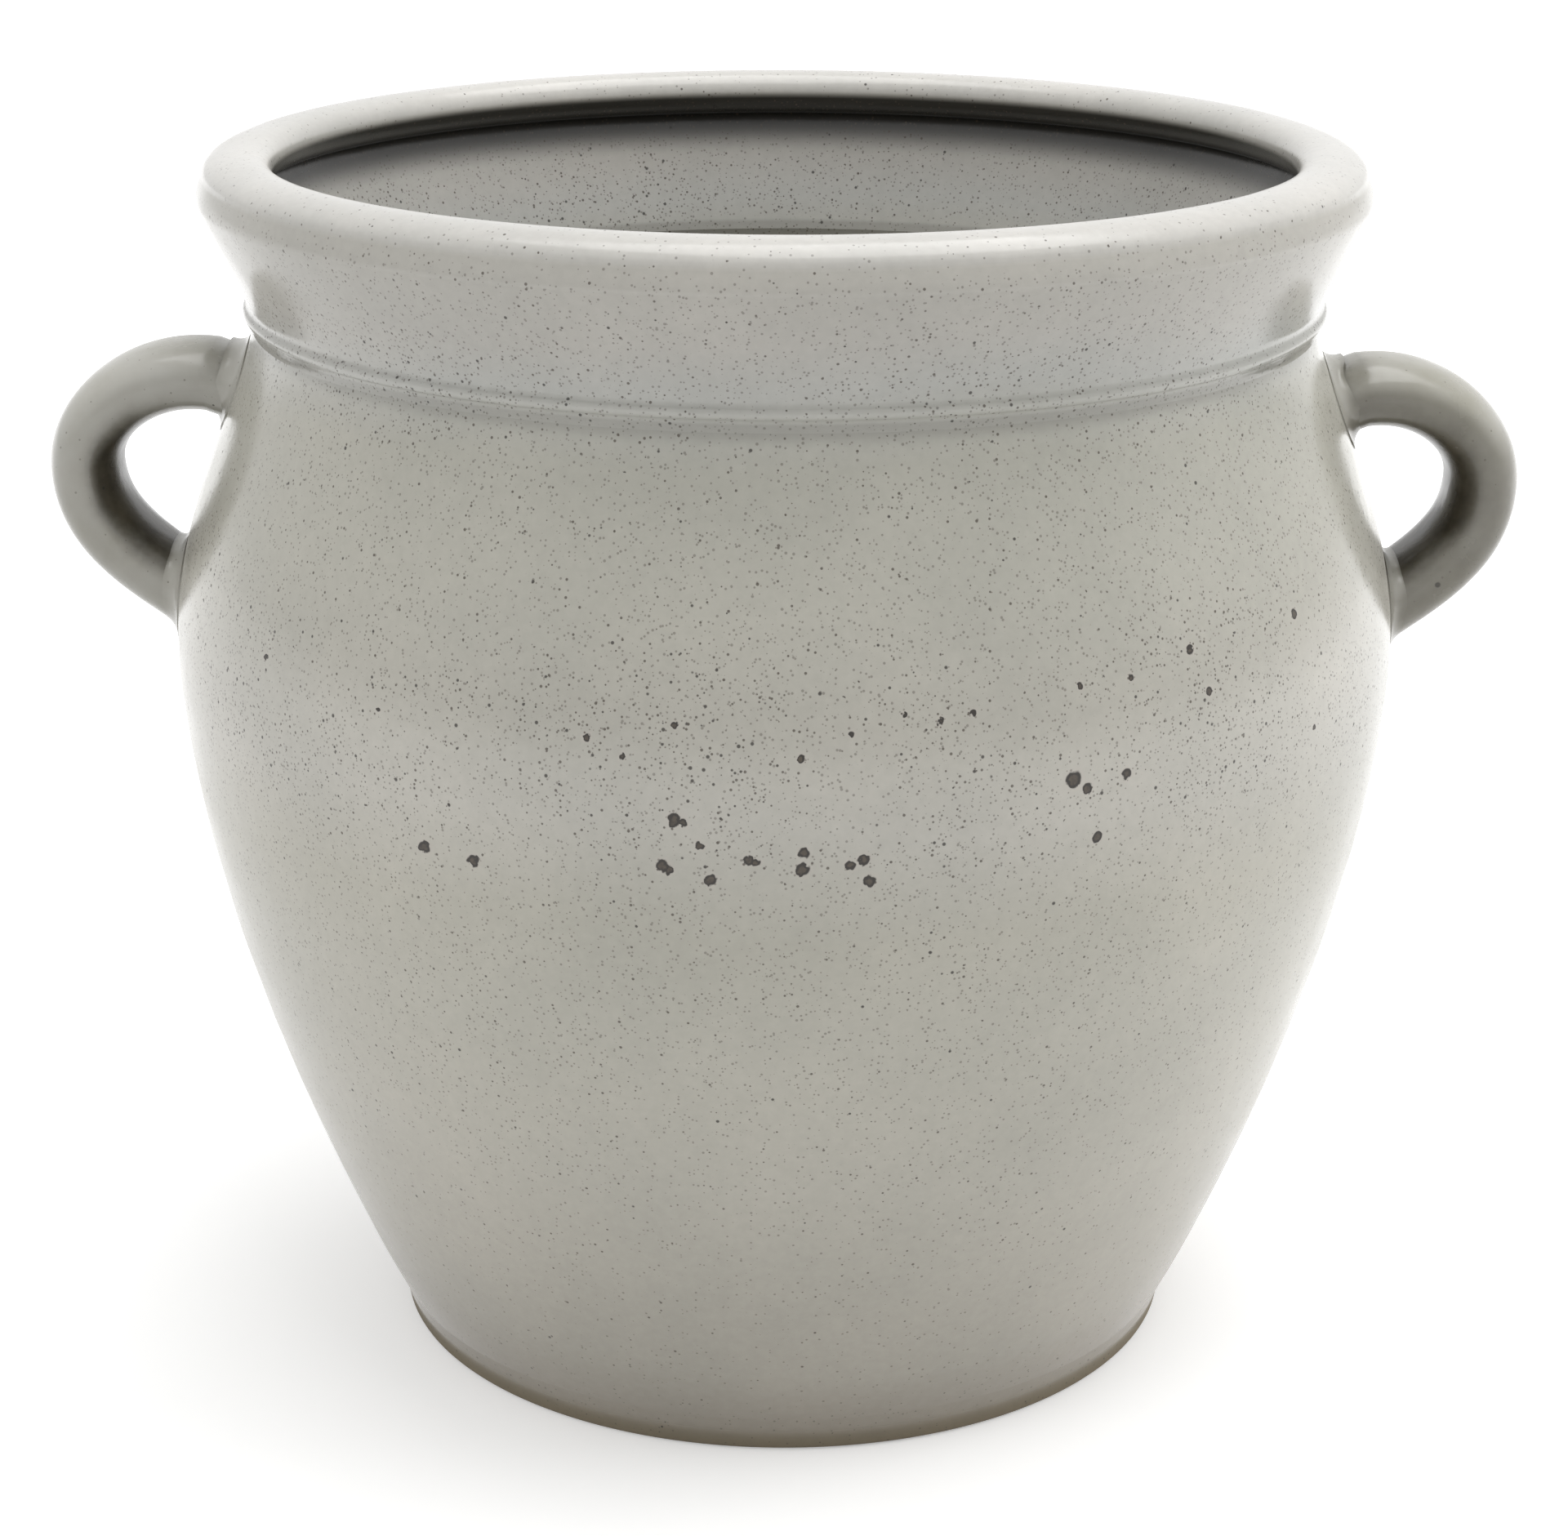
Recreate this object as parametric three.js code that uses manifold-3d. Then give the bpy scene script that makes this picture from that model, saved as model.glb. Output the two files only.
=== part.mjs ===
// A stoneware flowerpot with two strap handles, built from the clay pieces that it is joined from.
// Millimetres, +Z up. The origin is the centre of the foot, and the handles lie along X.

import * as THREE from 'three';
import { mergeVertices } from 'three/addons/utils/BufferGeometryUtils.js';
import Module from 'manifold-3d';

const wasm = await Module();
wasm.setup();

// Wall, from the floor up
const wallThickness = 9.5;
const floorThickness = 9;
const lowerWallHeight = 164;
const shoulderHeight = 73;
const collarHeight = 29;

// Radii of the outside
const footRadius = 95.5;
const heelRadius = 97.5;
const bellyRadius = 144;
const neckRadius = 123.6;
const rimRadius = 135;

// How the outside swells between those radii: the reach of each curve's ends
const heelSpread = 19;
const heelRise = 37.5;
const bellyFullness = 50.5;
const shoulderFullness = 28;
const neckSpread = 2.2;
const neckDraw = 16;

// Foot
const footEdge = 1.5;
const footRingWidth = 12;
const footRecess = 1.5;
const drainRadius = 9;
const floorCove = 9;

// Bead and groove at the foot of the collar
const beadRadius = 1.5;
const beadRise = 4.2;
const beadInset = 0.4;
const beadStart = -Math.PI * 0.4;
const beadEnd = Math.PI * 0.3;
const grooveRise = 6.2;
const grooveOut = 1.1;
const collarSpread = 2.3;
const collarSwell = 8;
const seatSpread = 3.7;

// Rolled rim
const rimWidth = 17.5;
const rimRise = 11;
const bandRise = 6.2;
const bandLean = 1.8;
const crestInset = 10.8;
const lipRise = 6;
const lipUndercut = 6.5;

// Strap handles
const strapWidth = 28.5;
const strapThickness = 16.2;
const strapFullness = 2.4;
const handleProjection = 29;
const upperRootDrop = 16.6;
const lowerRootRise = 6.3;
const handleBulgeRise = 31.2;
const upperArmReach = 19;
const upperArmLift = 7.8;
const upperArmBend = 13.7;
const lowerArmBend = 14.7;
const lowerArmReach = 12.5;
const lowerArmLift = 9;
const rootSink = 2;
const rootTail = 6;
const rightHandleDrop = 3.3;

// Luting pads at the handle roots
const padMargin = 2.8;
const padLift = 2.4;
const padDepth = 7;
const padEdge = 1.4;

// Clearance between a joined piece and what it is luted to
const luteGap = 0.3;

// Smoothness
const turnSteps = 64;
const wallSteps = 9;
const collarSteps = 4;
const rimSteps = 4;
const strapSteps = 26;
const sectionSteps = 24;

// Heights of the joints between the pieces of the wall
const bellyHeight = floorThickness + lowerWallHeight;
const neckHeight = bellyHeight + shoulderHeight;
const rimSeatHeight = neckHeight + collarHeight;

const point = (radius, height) => new THREE.Vector2(radius, height);

function curve(start, startReach, endReach, end, steps) {
  return new THREE.CubicBezierCurve(start, startReach, endReach, end).getPoints(steps);
}

// The outside of the wall from heel to belly and from belly to neck.
function lowerOutline() {
  const heel = point(heelRadius, floorThickness);
  const belly = point(bellyRadius, bellyHeight);
  const heelReach = point(heelRadius + heelSpread, floorThickness + heelRise);
  const bellyReach = point(bellyRadius, bellyHeight - bellyFullness);
  return curve(heel, heelReach, bellyReach, belly, wallSteps);
}

function shoulderOutline() {
  const belly = point(bellyRadius, bellyHeight);
  const neck = point(neckRadius, neckHeight);
  const bellyReach = point(bellyRadius, bellyHeight + shoulderFullness);
  const neckReach = point(neckRadius + neckSpread, neckHeight - neckDraw);
  return curve(belly, bellyReach, neckReach, neck, wallSteps);
}

// The outside of the collar: a small cove, the bead, the groove above it and the flare to the rim.
function collarOutline() {
  const beadCentre = point(neckRadius + beadInset, neckHeight + beadRise);
  const bead = new THREE.EllipseCurve(
    beadCentre.x, beadCentre.y, beadRadius, beadRadius, beadStart, beadEnd,
  ).getPoints(collarSteps);
  const groove = point(neckRadius + grooveOut, neckHeight + grooveRise);
  const seat = point(rimRadius, rimSeatHeight);
  const grooveReach = point(groove.x + collarSpread, groove.y + collarSwell);
  const seatReach = point(seat.x - seatSpread, seat.y - collarSwell);
  return [
    point(neckRadius, neckHeight),
    ...bead,
    ...curve(groove, grooveReach, seatReach, seat, wallSteps),
  ];
}

// The same outline moved in by the wall's thickness, from top to bottom.
function insideOf(outline) {
  return outline.map((p) => point(p.x - wallThickness, p.y)).reverse();
}

// A closed profile turned about the Z axis.
function turned(profile) {
  return new THREE.LatheGeometry([...profile, profile[0].clone()], turnSteps).rotateX(Math.PI / 2);
}

function baseSlab() {
  const ringInside = footRadius - footRingWidth;
  return turned([
    point(drainRadius, footRecess),
    point(ringInside - footRecess, footRecess),
    point(ringInside, 0),
    point(footRadius - footEdge, 0),
    point(footRadius, footEdge),
    point(heelRadius, floorThickness),
    point(drainRadius, floorThickness),
  ]);
}

// The inside of the lower wall ends in a cove that meets the floor.
function lowerWall() {
  const outside = lowerOutline();
  const inside = insideOf(outside).filter((p) => p.y > floorThickness + floorCove);
  const last = inside[inside.length - 1];
  const corner = point(heelRadius - wallThickness, floorThickness);
  const toe = point(corner.x - floorCove, floorThickness);
  const cove = new THREE.QuadraticBezierCurve(last, corner, toe).getPoints(collarSteps).slice(1);
  return turned([...outside, ...inside, ...cove]);
}

function shoulderWall() {
  const outside = shoulderOutline();
  return turned([...outside, ...insideOf(outside)]);
}

function neckCollar() {
  const seatInside = point(rimRadius - wallThickness, rimSeatHeight);
  const neckInside = point(neckRadius - wallThickness, neckHeight);
  const seatReach = point(seatInside.x - seatSpread, seatInside.y - collarSwell);
  const neckReach = point(neckInside.x + collarSpread, neckInside.y + collarSwell);
  return turned([...collarOutline(), ...curve(seatInside, seatReach, neckReach, neckInside, wallSteps)]);
}

function rolledRim() {
  const lipRadius = rimRadius - rimWidth;
  const crestRadius = rimRadius - crestInset;
  const seat = point(rimRadius, rimSeatHeight);
  const arris = point(rimRadius - bandLean, rimSeatHeight + bandRise);
  const crest = point(crestRadius, rimSeatHeight + rimRise);
  const lip = point(lipRadius, rimSeatHeight + lipRise);
  const under = point(lipRadius + lipUndercut, rimSeatHeight);
  const outerReach = point((arris.x * 2 + crest.x) / 3, (arris.y + crest.y * 2) / 3);
  const crestOut = point((arris.x + crest.x * 2) / 3, crest.y);
  const crestIn = point((lip.x + crest.x) / 2, crest.y);
  const lipUp = point(lip.x, (lip.y + crest.y) / 2);
  const lipDown = point(lip.x, (lip.y + seat.y) / 2);
  return turned([
    seat,
    ...curve(arris, outerReach, crestOut, crest, rimSteps),
    ...curve(crest, crestIn, lipUp, lip, rimSteps).slice(1),
    ...new THREE.QuadraticBezierCurve(lip, lipDown, under).getPoints(rimSteps).slice(1),
  ]);
}

// Solids for the joins and cuts.
function solidOf(geometry) {
  const bare = geometry.clone();
  bare.deleteAttribute('normal');
  bare.deleteAttribute('uv');
  const welded = mergeVertices(bare.index ? bare.toNonIndexed() : bare, 1e-4);
  return new wasm.Manifold(new wasm.Mesh({
    numProp: 3,
    vertProperties: new Float32Array(welded.attributes.position.array),
    triVerts: new Uint32Array(welded.index.array),
  }));
}

function geometryOf(solid) {
  const mesh = solid.getMesh();
  const geometry = new THREE.BufferGeometry();
  geometry.setAttribute('position', new THREE.BufferAttribute(mesh.vertProperties, 3));
  geometry.setIndex(new THREE.BufferAttribute(mesh.triVerts, 1));
  geometry.computeVertexNormals();
  return geometry;
}

// Everything inside the wall's outer face plus the luting gap, down to the axis.
function wallEnvelope() {
  const outline = [...lowerOutline(), ...shoulderOutline().slice(1), ...collarOutline().slice(1)];
  const grown = outline.map((p) => point(p.x + luteGap, p.y));
  const profile = [point(0, floorThickness), ...grown, point(0, rimSeatHeight)];
  return solidOf(new THREE.LatheGeometry(profile, turnSteps).rotateX(Math.PI / 2));
}

// A place on the shoulder at one height: the point on the wall, and the direction straight out of it.
function wallRoot(height) {
  const outline = [...lowerOutline(), ...shoulderOutline().slice(1)];
  const above = outline.findIndex((p) => p.y >= height);
  const [low, high] = [outline[above - 1], outline[above]];
  const share = (height - low.y) / (high.y - low.y);
  const place = new THREE.Vector3(low.x + (high.x - low.x) * share, 0, height);
  const outward = new THREE.Vector3(high.y - low.y, 0, low.x - high.x).normalize();
  return { place, outward };
}

// A flattened oval: a fullness of 2 is an ellipse, and a higher one comes nearer to a rectangle.
function ovalSection(width, thickness) {
  const power = 2 / strapFullness;
  const stretch = (value) => Math.sign(value) * Math.abs(value) ** power;
  const outline = Array.from({ length: sectionSteps }, (_, step) => {
    const turn = (step / sectionSteps) * Math.PI * 2;
    return point((stretch(Math.cos(turn)) * width) / 2, (stretch(Math.sin(turn)) * thickness) / 2);
  });
  return new THREE.Shape(outline);
}

// The line along the middle of a strap, from inside the wall at the upper root round to the lower root.
function strapPath(upper, lower) {
  const top = upper.place.clone().addScaledVector(upper.outward, -rootSink);
  const foot = lower.place.clone().addScaledVector(lower.outward, -rootSink);
  const bulge = new THREE.Vector3(
    bellyRadius + handleProjection - strapThickness / 2, 0, lower.place.z + handleBulgeRise,
  );
  const shifted = (from, x, z) => new THREE.Vector3(from.x + x, 0, from.z + z);
  const topReach = shifted(top, upperArmReach, upperArmLift);
  const footReach = shifted(foot, lowerArmReach, lowerArmLift);
  const behind = (end, reach) => (
    end.clone().addScaledVector(end.clone().sub(reach).normalize(), rootTail)
  );
  const path = new THREE.CurvePath();
  path.add(new THREE.LineCurve3(behind(top, topReach), top));
  path.add(new THREE.CubicBezierCurve3(top, topReach, shifted(bulge, 0, upperArmBend), bulge));
  path.add(new THREE.CubicBezierCurve3(bulge, shifted(bulge, 0, -lowerArmBend), footReach, foot));
  path.add(new THREE.LineCurve3(foot, behind(foot, footReach)));
  return path;
}

// A frame with its Z axis straight out of the wall and its X axis along Y of the pot.
function rootFrame(root, lift) {
  const along = new THREE.Vector3(0, 1, 0);
  const up = new THREE.Vector3().crossVectors(root.outward, along);
  const frame = new THREE.Matrix4().makeBasis(along, up, root.outward);
  return frame.setPosition(root.place.clone().addScaledVector(root.outward, lift));
}

// The pad reaches as far along the wall as the slanting end of the strap that it carries.
function lutingPad(root, strapDirection, envelope) {
  const across = strapThickness / Math.abs(strapDirection.dot(root.outward));
  const outline = ovalSection(strapWidth + 2 * padMargin, across + 2 * padMargin);
  const pad = new THREE.ExtrudeGeometry(outline, {
    depth: padDepth - 2 * padEdge,
    steps: 1,
    bevelThickness: padEdge,
    bevelSize: padEdge,
    bevelOffset: -padEdge,
    bevelSegments: 2,
  });
  pad.translate(0, 0, padEdge - padDepth);
  pad.applyMatrix4(rootFrame(root, padLift));
  return geometryOf(solidOf(pad).subtract(envelope));
}

// What lies behind a pad's outer face, with the luting gap, is cut off the strap.
function behindPad(root) {
  const reach = strapWidth + padMargin * 2;
  const block = new THREE.BoxGeometry(reach * 2, reach * 2, reach);
  block.translate(0, 0, -reach / 2);
  block.applyMatrix4(rootFrame(root, padLift + luteGap));
  return solidOf(block);
}

function strapHandle(path, upper, lower) {
  const section = ovalSection(strapWidth, strapThickness);
  const strap = new THREE.ExtrudeGeometry(section, { steps: strapSteps, extrudePath: path });
  return geometryOf(solidOf(strap).subtract(behindPad(upper)).subtract(behindPad(lower)));
}

function piece(name, geometry, color, roughness) {
  const material = new THREE.MeshStandardMaterial({ color, roughness, metalness: 0 });
  const mesh = new THREE.Mesh(geometry, material);
  mesh.name = name;
  return mesh;
}

// One handle with its two pads, built on the +X side and turned about Z to its own side.
function handleGroup(side, turn, drop, envelope) {
  const upper = wallRoot(neckHeight - upperRootDrop - drop);
  const lower = wallRoot(bellyHeight + lowerRootRise - drop);
  const path = strapPath(upper, lower);
  const upperDirection = path.getTangent(0);
  const lowerDirection = path.getTangent(1);
  const group = new THREE.Group();
  group.rotation.z = turn;
  group.add(
    piece(side + '_handle', strapHandle(path, upper, lower), 0xaaa8a0, 0.28),
    piece(side + '_upper_pad', lutingPad(upper, upperDirection, envelope), 0xa3a097, 0.34),
    piece(side + '_lower_pad', lutingPad(lower, lowerDirection, envelope), 0xa3a097, 0.34),
  );
  return group;
}

const pot = new THREE.Group();
const envelope = wallEnvelope();
pot.add(
  piece('base_slab', baseSlab(), 0x9b9384, 0.7),
  piece('lower_wall', lowerWall(), 0xa9a79f, 0.26),
  piece('shoulder_wall', shoulderWall(), 0xb0afa8, 0.24),
  piece('neck_collar', neckCollar(), 0xb0b0aa, 0.24),
  piece('rolled_rim', rolledRim(), 0xcfcdc9, 0.22),
  handleGroup('left', Math.PI, 0, envelope),
  handleGroup('right', 0, rightHandleDrop, envelope),
);

export default pot;
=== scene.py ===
import math

import bmesh
import bpy
from mathutils import Matrix, Vector, noise


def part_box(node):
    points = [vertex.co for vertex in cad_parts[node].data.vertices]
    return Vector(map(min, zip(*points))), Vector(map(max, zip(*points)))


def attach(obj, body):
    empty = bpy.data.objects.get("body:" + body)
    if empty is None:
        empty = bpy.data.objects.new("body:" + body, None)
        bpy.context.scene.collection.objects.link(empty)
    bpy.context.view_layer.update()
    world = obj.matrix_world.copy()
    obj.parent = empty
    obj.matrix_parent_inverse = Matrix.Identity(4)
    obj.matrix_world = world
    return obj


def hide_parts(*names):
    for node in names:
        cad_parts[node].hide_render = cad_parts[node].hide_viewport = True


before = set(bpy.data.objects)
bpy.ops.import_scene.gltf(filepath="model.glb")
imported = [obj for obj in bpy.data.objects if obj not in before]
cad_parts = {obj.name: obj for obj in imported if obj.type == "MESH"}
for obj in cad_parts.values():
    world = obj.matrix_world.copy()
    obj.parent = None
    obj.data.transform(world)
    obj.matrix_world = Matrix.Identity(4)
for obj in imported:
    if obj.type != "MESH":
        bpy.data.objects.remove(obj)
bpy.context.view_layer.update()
mm = 0.001
weldGap = 1e-6
print("frame loaded:", len(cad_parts), "nodes")

# Sizes read from the frame
lowerLow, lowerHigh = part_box("lower_wall")
collarLow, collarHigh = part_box("neck_collar")
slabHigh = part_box("base_slab")[1]
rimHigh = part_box("rolled_rim")[1]

heights = {
    "floor": lowerLow.z,
    "belly": lowerHigh.z,
    "neck": collarLow.z,
    "seat": collarHigh.z,
    "top": rimHigh.z,
}
radii = {
    "heel": slabHigh.x,
    "belly": lowerHigh.x,
    "rim": collarHigh.x,
}


def at(radius, height):
    return Vector((radius, height))


def bend(start, startReach, endReach, end, steps):
    # points of a cubic curve, ends included
    points = []
    for step in range(steps + 1):
        t = step / steps
        u = 1 - t
        near = start * u**3 + startReach * 3 * u * u * t
        points.append(near + endReach * 3 * u * t * t + end * t**3)
    return points


def arc(centre, radius, startDegrees, endDegrees, steps):
    points = []
    for step in range(steps + 1):
        turn = math.radians(startDegrees + (endDegrees - startDegrees) * step / steps)
        points.append(centre + at(math.cos(turn), math.sin(turn)) * radius)
    return points


# The wall, in millimetres where the frame does not say
wallSettings = {
    "thickness": 9.5,
    "cove": 9.0,
    "coveFullness": 0.66,
    "coveSteps": 8,
    "heelSpread": 19.0,
    "heelRise": 37.5,
    "bellyFullness": 50.5,
    "shoulderFullness": 28.0,
    "neckRadius": 123.6,
    "neckSpread": 2.2,
    "neckDraw": 16.0,
    "rowHeight": 2.0,
    "insideEvery": 2,
    "turnSteps": 256,
    "sharpDegrees": 35,
}


def lowerOutline():
    s = wallSettings
    heel = at(radii["heel"], heights["floor"])
    belly = at(radii["belly"], heights["belly"])
    heelReach = heel + at(s["heelSpread"], s["heelRise"]) * mm
    bellyReach = belly - at(0, s["bellyFullness"]) * mm
    rows = round((belly.y - heel.y) / mm / s["rowHeight"])
    return bend(heel, heelReach, bellyReach, belly, rows)


def shoulderOutline():
    s = wallSettings
    belly = at(radii["belly"], heights["belly"])
    neck = at(s["neckRadius"] * mm, heights["neck"])
    bellyReach = belly + at(0, s["shoulderFullness"]) * mm
    neckReach = neck + at(s["neckSpread"], -s["neckDraw"]) * mm
    rows = round((neck.y - belly.y) / mm / s["rowHeight"])
    return bend(belly, bellyReach, neckReach, neck, rows)


def insideOf(outline):
    # from the top down, with fewer rows than the outside
    shift = at(wallSettings["thickness"] * mm, 0)
    return [p - shift for p in reversed(outline)][::wallSettings["insideEvery"]]


wallLine = lowerOutline() + shoulderOutline()[1:]


def wallRadius(height):
    # radius of the outside at one height
    for low, high in zip(wallLine, wallLine[1:]):
        if low.y <= height <= high.y:
            return low.x + (high.x - low.x) * (height - low.y) / (high.y - low.y)
    return wallLine[0].x if height < wallLine[0].y else wallLine[-1].x


# Slow unevenness that a hand-thrown wall has, depths in millimetres
throwSettings = {
    "ringDepth": 0.28,
    "ringPitch": 11.0,
    "ringPlace": (0.3, 0.7),
    "ovalDepth": 0.35,
    "ovalScale": 9,
    "ovalStretch": 1.7,
    "stillShare": 0.6,
}


def throwWall(bm):
    # faint throwing rings and a slightly oval body, only ever inwards; the middle of the floor stays
    s = throwSettings
    for v in bm.verts:
        spread = math.hypot(v.co.x, v.co.y)
        if spread < radii["heel"] * s["stillShare"]:
            continue
        ring = noise.noise(Vector((*s["ringPlace"], v.co.z / (s["ringPitch"] * mm))))
        sway = noise.noise(Vector((v.co.x, v.co.y, v.co.z * s["ovalStretch"])) * s["ovalScale"])
        ringInward = s["ringDepth"] * (0.5 + 0.5 * ring)
        ovalInward = s["ovalDepth"] * (0.5 + 0.5 * sway)
        v.co.xy *= (spread - (ringInward + ovalInward) * mm) / spread


def newPiece(name, bm, sharpDegrees):
    bmesh.ops.remove_doubles(bm, verts=bm.verts, dist=weldGap)
    bmesh.ops.recalc_face_normals(bm, faces=bm.faces)
    mesh = bpy.data.meshes.new(name)
    bm.to_mesh(mesh)
    bm.free()
    mesh.shade_smooth()
    mesh.set_sharp_from_angle(angle=math.radians(sharpDegrees))
    piece = bpy.data.objects.new(name, mesh)
    bpy.context.collection.objects.link(piece)
    return piece


def closedLoop(bm, points):
    verts = [bm.verts.new(p) for p in points]
    edges = [bm.edges.new(pair) for pair in zip(verts, verts[1:] + verts[:1])]
    return verts, edges


def turnedPiece(name, profile, node, sharpDegrees=wallSettings["sharpDegrees"]):
    # a closed profile spun once round the axis
    bm = bmesh.new()
    verts, edges = closedLoop(bm, [(p.x, 0, p.y) for p in profile])
    bmesh.ops.spin(
        bm,
        geom=verts + edges,
        cent=(0, 0, 0),
        axis=(0, 0, 1),
        angle=math.tau,
        steps=wallSettings["turnSteps"],
        use_merge=True,
    )
    throwWall(bm)
    piece = newPiece(name, bm, sharpDegrees)
    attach(piece, "root")
    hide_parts(node)
    return piece


# The foot stands on a ring; the band above it is where the slab meets the wall
footSettings = {
    "radius": 95.5,
    "edge": 1.6,
    "edgeSteps": 5,
    "ring": 12.0,
    "ringEdge": 1.0,
    "ringEdgeRise": 0.5,
    "recess": 1.5,
    "recessInset": 3.0,
    "drain": 9.0,
    "drainEdge": 0.6,
    "drainTopEdge": 0.8,
    "bandInset": 0.3,
    "bandShare": 0.55,
}


def makeFoot():
    s = footSettings
    heel, floor = radii["heel"], heights["floor"]
    ringInside = s["radius"] - s["ring"]
    underside = [
        at(s["drain"], s["recess"] + s["drainEdge"]) * mm,
        at(s["drain"] + s["drainEdge"], s["recess"]) * mm,
        at(ringInside - s["recessInset"], s["recess"]) * mm,
        at(ringInside - s["ringEdge"], s["ringEdgeRise"]) * mm,
        at(ringInside, 0) * mm,
    ]
    edgeCentre = at(s["radius"] - s["edge"], s["edge"]) * mm
    edge = arc(edgeCentre, s["edge"] * mm, -90, 0, s["edgeSteps"])
    bandRadius = (s["radius"] + heel / mm) / 2 - s["bandInset"]
    band = [at(bandRadius, floor / mm * s["bandShare"]) * mm]
    top = [
        at(heel, floor),
        at(s["drain"] * mm + s["drainTopEdge"] * mm, floor),
        at(s["drain"] * mm, floor - s["drainTopEdge"] * mm),
    ]
    return turnedPiece("foot", underside + edge + band + top, "base_slab")


def makeLowerWall():
    # a rounded cove fills the corner between the floor and the wall
    s = wallSettings
    outside = lowerOutline()
    inside = [p for p in insideOf(outside) if p.y > heights["floor"] + s["cove"] * mm]
    corner = at(radii["heel"] - s["thickness"] * mm, heights["floor"])
    toe = corner - at(s["cove"], 0) * mm
    wallReach = inside[-1].lerp(corner, s["coveFullness"])
    floorReach = toe.lerp(corner, s["coveFullness"])
    cove = bend(inside[-1], wallReach, floorReach, toe, s["coveSteps"])[1:]
    return turnedPiece("lowerWall", outside + inside + cove, "lower_wall")


def makeShoulder():
    outside = shoulderOutline()
    return turnedPiece("shoulder", outside + insideOf(outside), "shoulder_wall")


# The collar flares up from a groove above a thin bead
collarSettings = {
    "neckReach": (-0.15, 1.0),
    "neckSteps": 4,
    "beadRise": 4.2,
    "beadRadius": 1.5,
    "beadInset": 0.5,
    "beadTurn": (-75, 60),
    "beadReach": (0.1, 0.8),
    "beadSteps": 10,
    "grooveRise": 6.4,
    "grooveOut": 1.0,
    "spread": 2.3,
    "swell": 8.0,
    "seatSpread": 3.7,
    "creaseDepth": 0.5,
    "outsideSteps": 16,
    "insideSteps": 12,
    "sharpDegrees": 60,
}


def makeCollar():
    s = collarSettings
    neck = at(wallSettings["neckRadius"] * mm, heights["neck"])
    seat = at(radii["rim"], heights["seat"])
    wall = at(wallSettings["thickness"] * mm, 0)
    beadCentre = neck + at(s["beadInset"], s["beadRise"]) * mm
    bead = arc(beadCentre, s["beadRadius"] * mm, *s["beadTurn"], s["beadSteps"])
    neckReach = neck + at(*s["neckReach"]) * mm
    beadReach = bead[0] - at(*s["beadReach"]) * mm
    cove = bend(neck, neckReach, beadReach, bead[0], s["neckSteps"])[:-1]
    groove = neck + at(s["grooveOut"], s["grooveRise"]) * mm
    upward = at(s["spread"], s["swell"]) * mm
    downward = at(s["seatSpread"], s["swell"]) * mm
    paintedLipShadow = seat - at(s["creaseDepth"], 0) * mm
    flare = bend(groove, groove + upward, seat - downward, paintedLipShadow, s["outsideSteps"])
    inside = bend(
        seat - wall,
        seat - wall - downward,
        neck - wall + upward,
        neck - wall,
        s["insideSteps"],
    )
    profile = cove + bead + flare + inside
    return turnedPiece("collar", profile, "neck_collar", s["sharpDegrees"])


# The rim: a leaning band outside, a domed top, a rounded lip and a hollow under it
rimSettings = {
    "bandRise": 6.2,
    "bandLean": 1.8,
    "bandInset": 0.5,
    "bandReach": (0.25, 1.2),
    "arrisReach": (0.9, -2.2),
    "domeShare": 0.55,
    "domeReach": 4.0,
    "crestInset": 10.8,
    "lipInset": 17.5,
    "lipRise": 6.0,
    "lipAcross": 2.5,
    "lipUp": 3.0,
    "lipDown": 2.6,
    "undercut": 6.5,
    "undercutReach": 3.4,
    "rows": 12,
    "sharpDegrees": 60,
}


def makeRim():
    s = rimSettings
    rows = s["rows"]
    seat = at(radii["rim"], heights["seat"])
    arris = seat + at(-s["bandLean"], s["bandRise"]) * mm
    crest = at(seat.x - s["crestInset"] * mm, heights["top"])
    lip = at(seat.x - s["lipInset"] * mm, seat.y + s["lipRise"] * mm)
    under = at(lip.x + s["undercut"] * mm, seat.y)
    seatEdge = seat - at(s["bandInset"], 0) * mm
    bandReach = seat + at(*s["bandReach"]) * mm
    band = bend(seatEdge, bandReach, arris + at(*s["arrisReach"]) * mm, arris, rows)
    domeStart = arris.lerp(at(arris.x, crest.y), s["domeShare"])
    domeEnd = at(arris.x - s["domeReach"] * mm, crest.y)
    dome = bend(arris, domeStart, domeEnd, crest, rows)
    innerStart = at(lip.x + s["lipAcross"] * mm, crest.y)
    innerEnd = at(lip.x, lip.y + s["lipUp"] * mm)
    inner = bend(crest, innerStart, innerEnd, lip, rows)
    hollowStart = lip - at(0, s["lipDown"]) * mm
    hollowEnd = under - at(s["undercutReach"], 0) * mm
    hollow = bend(lip, hollowStart, hollowEnd, under, rows)
    profile = band + dome[1:] + inner[1:] + hollow[1:]
    return turnedPiece("rim", profile, "rolled_rim", s["sharpDegrees"])


wallPieces = [makeFoot(), makeLowerWall(), makeShoulder(), makeCollar(), makeRim()]
print("wall pieces turned")


# Strap handles, in millimetres; a fullness of 2 is an ellipse and more is squarer
handleSettings = {
    "width": 28.5,
    "thickness": 16.2,
    "fullness": 2.4,
    "projection": 29.0,
    "upperDrop": 16.6,
    "lowerRise": 6.3,
    "bulgeRise": 31.2,
    "upperReach": (19.0, 7.8),
    "upperBend": 13.7,
    "lowerBend": 14.7,
    "lowerReach": (12.5, 9.0),
    "sink": 2.0,
    "clear": 7.0,
    "sectionSteps": 56,
    "armSteps": 30,
    "sharpDegrees": 50,
}

handleSides = {
    "left": {"side": -1, "drop": 0.0},
    "right": {"side": 1, "drop": 3.3},
}


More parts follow.
